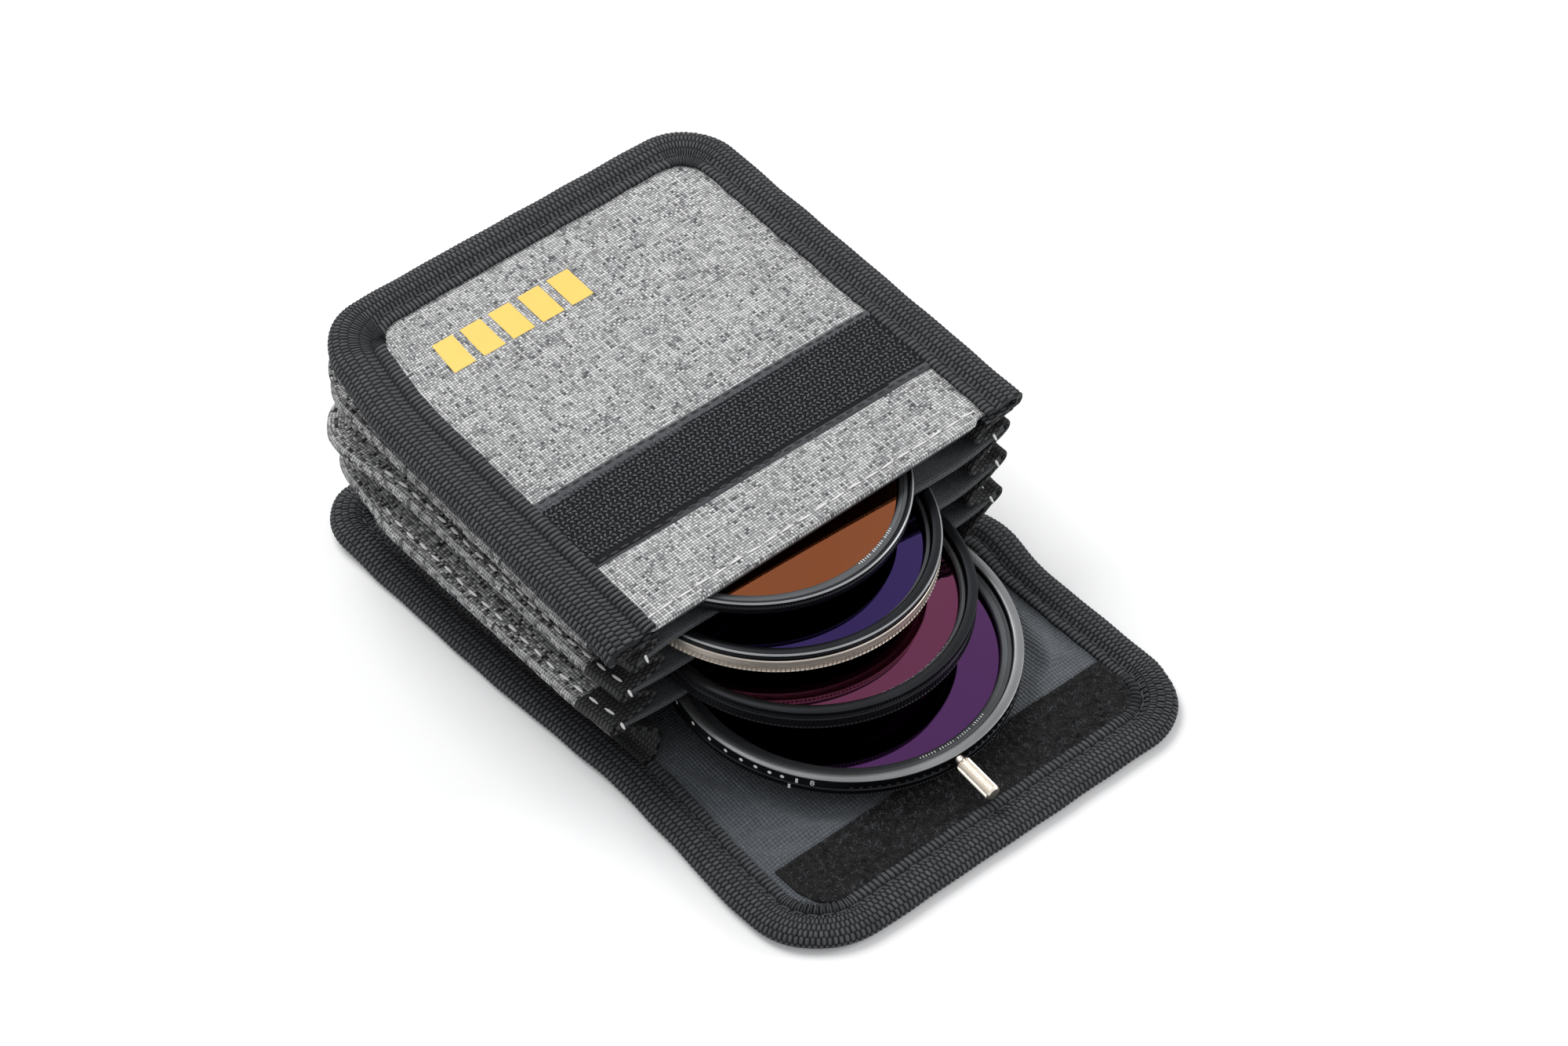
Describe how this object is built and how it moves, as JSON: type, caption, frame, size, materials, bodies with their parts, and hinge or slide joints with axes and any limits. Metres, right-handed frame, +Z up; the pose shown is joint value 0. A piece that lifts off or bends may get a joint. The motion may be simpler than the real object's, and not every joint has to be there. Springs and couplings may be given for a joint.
{
  "type": "lens filter case",
  "caption": "Flat cloth pouch with an accordion gusset, padded pockets and a hook-and-loop flap, lying open with round lens filters drawn part way out.",
  "frame": {"origin": "centre of the bounding box at the underside of the back panel", "axes": "+X across the pouch, +Y from the flap to the closed end, +Z up from the back panel to the front panel"},
  "size_m": [0.126, 0.195, 0.0622],
  "materials": {
    "heather": "light grey heather polyester, plain weave",
    "gusset": "dark grey heather polyester, plain weave",
    "webbing": "black woven webbing",
    "lining": "slate blue-grey woven nylon",
    "padding": "black woven nylon over thin padding",
    "hook": "black hook tape",
    "loop": "black loop tape",
    "black_metal": "black anodised, satin",
    "grey_metal": "dark grey anodised, satin",
    "champagne": "champagne anodised, satin",
    "amber": "coated, amber reflection",
    "blue": "coated, blue reflection",
    "magenta": "coated, magenta reflection",
    "purple": "coated, purple reflection"
  },
  "bodies": {
    "pouch_back": {"back_panel": "heather", "back_lining": "lining", "back_binding": "webbing", "gusset_4": "gusset", "gusset_facing_left_4": "padding", "gusset_facing_right_4": "padding"},
    "flap": {"flap_panel": "heather", "flap_lining": "lining", "flap_binding": "webbing", "flap_loop_strip": "loop"},
    "layer_3": {"divider_3": "padding", "gusset_3": "gusset", "gusset_facing_left_3": "padding", "gusset_facing_right_3": "padding"},
    "layer_2": {"divider_2": "padding", "gusset_2": "gusset", "gusset_facing_left_2": "padding", "gusset_facing_right_2": "padding"},
    "layer_1": {"divider_1": "padding", "gusset_1": "gusset", "gusset_facing_left_1": "padding", "gusset_facing_right_1": "padding"},
    "front": {"front_panel": "heather", "front_lining": "lining", "front_binding": "webbing", "front_hook_strip": "hook"},
    "filter_1": {"filter_1_ring": "black_metal", "filter_1_glass": "amber", "filter_1_retaining_ring": "grey_metal"},
    "filter_2": {"filter_2_rear_ring": "champagne"},
    "filter_2_turning": {"filter_2_front_ring": "black_metal", "filter_2_glass": "blue", "filter_2_retaining_ring": "grey_metal"},
    "filter_3": {"filter_3_rear_ring": "black_metal"},
    "filter_3_turning": {"filter_3_front_ring": "black_metal", "filter_3_glass": "magenta", "filter_3_retaining_ring": "grey_metal"},
    "filter_4": {"filter_4_rear_ring": "black_metal", "filter_4_rear_glass": "purple"},
    "filter_4_turning": {"filter_4_front_ring": "black_metal", "filter_4_front_glass": "purple", "filter_4_retaining_ring": "grey_metal", "filter_4_lever": "champagne"}
  },
  "joints": [
    {"name": "flap_fold", "type": "hinge", "parent": "pouch_back", "child": "flap", "pos_m": [0, -0.0245, 0], "axis": [1, 0, 0], "range_deg": [0, 90]},
    {"name": "pocket_4_fan", "type": "hinge", "parent": "pouch_back", "child": "layer_3", "pos_m": [0, 0.09564, 0.01323], "axis": [-1, 0, 0], "range_deg": [0, 3.5], "deforming": ["gusset_4", "gusset_facing_left_4", "gusset_facing_right_4"]},
    {"name": "pocket_3_fan", "type": "hinge", "parent": "layer_3", "child": "layer_2", "pos_m": [0, 0.09564, 0.03], "axis": [-1, 0, 0], "range_deg": [0, 4.5], "deforming": ["gusset_3", "gusset_facing_left_3", "gusset_facing_right_3"]},
    {"name": "pocket_2_fan", "type": "hinge", "parent": "layer_2", "child": "layer_1", "pos_m": [0, 0.09564, 0.04282], "axis": [-1, 0, 0], "range_deg": [0, 4.5], "deforming": ["gusset_2", "gusset_facing_left_2", "gusset_facing_right_2"]},
    {"name": "pocket_1_fan", "type": "hinge", "parent": "layer_1", "child": "front", "pos_m": [0, 0.09564, 0.05443], "axis": [-1, 0, 0], "range_deg": [0, 5], "deforming": ["gusset_1", "gusset_facing_left_1", "gusset_facing_right_1"]},
    {"name": "filter_1_slide", "type": "slide", "parent": "layer_1", "child": "filter_1", "axis": [0, 0.994, 0.1097], "range_m": [0, 0.04]},
    {"name": "filter_2_slide", "type": "slide", "parent": "layer_2", "child": "filter_2", "axis": [0, 0.9968, 0.0802], "range_m": [0, 0.05]},
    {"name": "filter_3_slide", "type": "slide", "parent": "layer_3", "child": "filter_3", "axis": [0, 0.9985, 0.055], "range_m": [0, 0.06]},
    {"name": "filter_4_slide", "type": "slide", "parent": "pouch_back", "child": "filter_4", "axis": [0, 1, 0], "range_m": [0, 0.069]},
    {"name": "filter_2_turn", "type": "hinge", "parent": "filter_2", "child": "filter_2_turning", "pos_m": [-0.0016, -0.0099, 0.03103], "axis": [0, -0.0802, 0.9968], "continuous": true},
    {"name": "filter_3_turn", "type": "hinge", "parent": "filter_3", "child": "filter_3_turning", "pos_m": [-0.0007, -0.0212, 0.02033], "axis": [0, -0.055, 0.9985], "continuous": true},
    {"name": "filter_4_turn", "type": "hinge", "parent": "filter_4", "child": "filter_4_turning", "pos_m": [0.0018, -0.031, 0.0085], "axis": [0, -0.0898, 0.996], "range_deg": [0, 80]}
  ]
}
